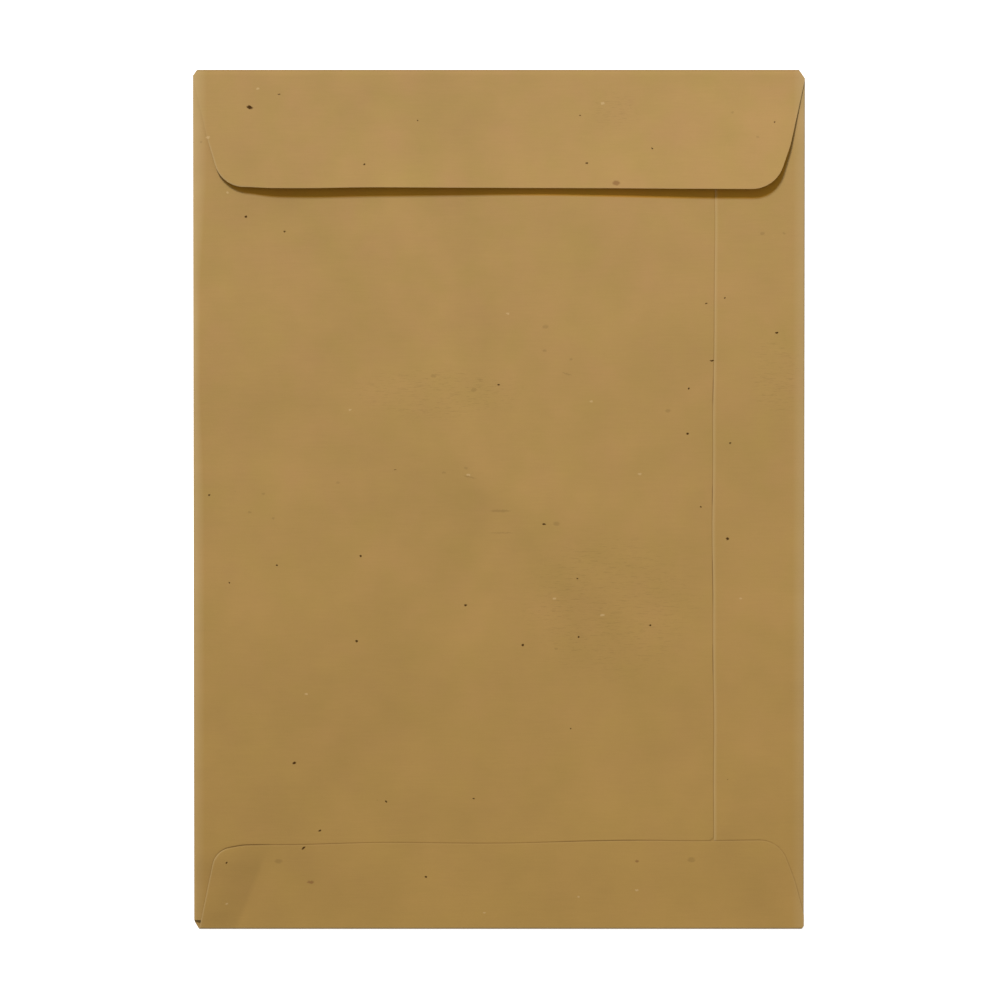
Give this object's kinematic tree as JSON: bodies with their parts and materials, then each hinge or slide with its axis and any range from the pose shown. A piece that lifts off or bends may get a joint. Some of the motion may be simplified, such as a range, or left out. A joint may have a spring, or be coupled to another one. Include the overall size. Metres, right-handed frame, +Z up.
{
  "type": "paper envelope",
  "caption": "Large brown kraft pocket envelope for unfolded papers, lying back up with its flap folded down but not sealed.",
  "frame": {"origin": "on the surface that the envelope lies on, under the middle of its outline", "axes": "+X to the right across the mouth, seen from the back; +Y from the bottom fold to the top flap's fold; +Z up, out of the back"},
  "size_m": [0.23, 0.3236, 0.0041],
  "materials": {
    "kraft_paper": "uncoated brown kraft, matt, with cloudy fibres and dark specks"
  },
  "bodies": {
    "root": {"envelope": "kraft_paper"}
  },
  "joints": []
}
